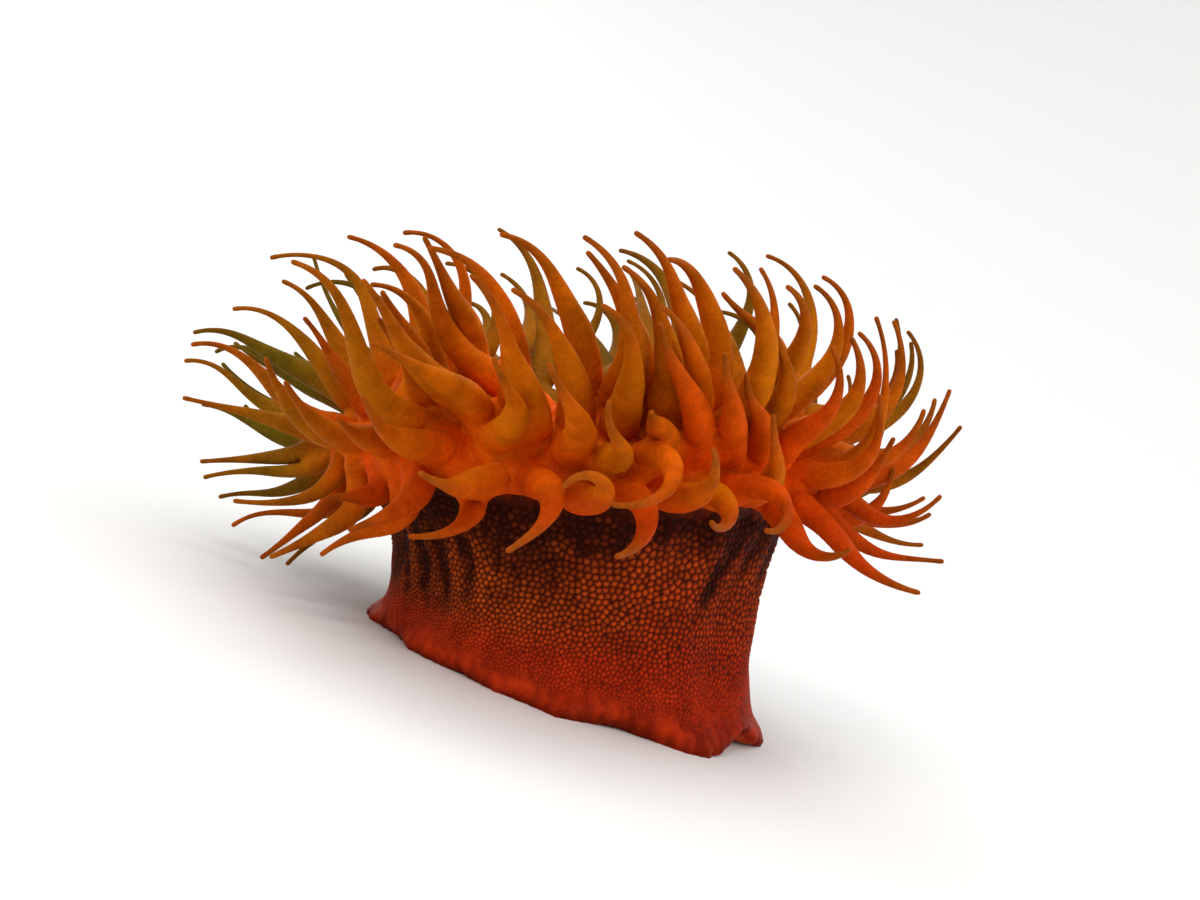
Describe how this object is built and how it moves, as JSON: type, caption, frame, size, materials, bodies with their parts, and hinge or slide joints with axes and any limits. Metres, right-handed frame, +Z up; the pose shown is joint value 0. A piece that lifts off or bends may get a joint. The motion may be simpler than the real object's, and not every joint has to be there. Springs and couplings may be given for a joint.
{
  "type": "sea anemone",
  "caption": "Life-size still model of a warty sea anemone standing on its pedal disc with the crown of tapering tentacles spread and bent",
  "frame": {"origin": "on the floor under the middle of the animal's bounding box", "axes": "+Z up from the pedal disc, +Y through the body towards the far side of the crown, +X across the body towards the raised side of the crown"},
  "size_m": [0.1582, 0.1904, 0.0937],
  "materials": {
    "foot": "wet, smooth flesh",
    "column": "wet, packed with rounded vesicles",
    "collar": "wet, dark, vesicled",
    "oral_disc": "wet, smooth, radially ribbed",
    "lips": "wet, smooth",
    "feelers": "wet, translucent flesh"
  },
  "bodies": {
    "root": {"foot": "foot", "column_lower": "column", "column_upper": "column", "collar": "collar", "oral_disc": "oral_disc", "mouth": "lips", "feelers_01": "feelers", "feelers_02": "feelers", "feelers_03": "feelers", "feelers_04": "feelers", "feelers_05": "feelers", "feelers_06": "feelers", "feelers_07": "feelers", "feelers_08": "feelers", "feelers_09": "feelers", "feelers_10": "feelers", "feelers_11": "feelers", "feelers_12": "feelers"}
  },
  "joints": []
}
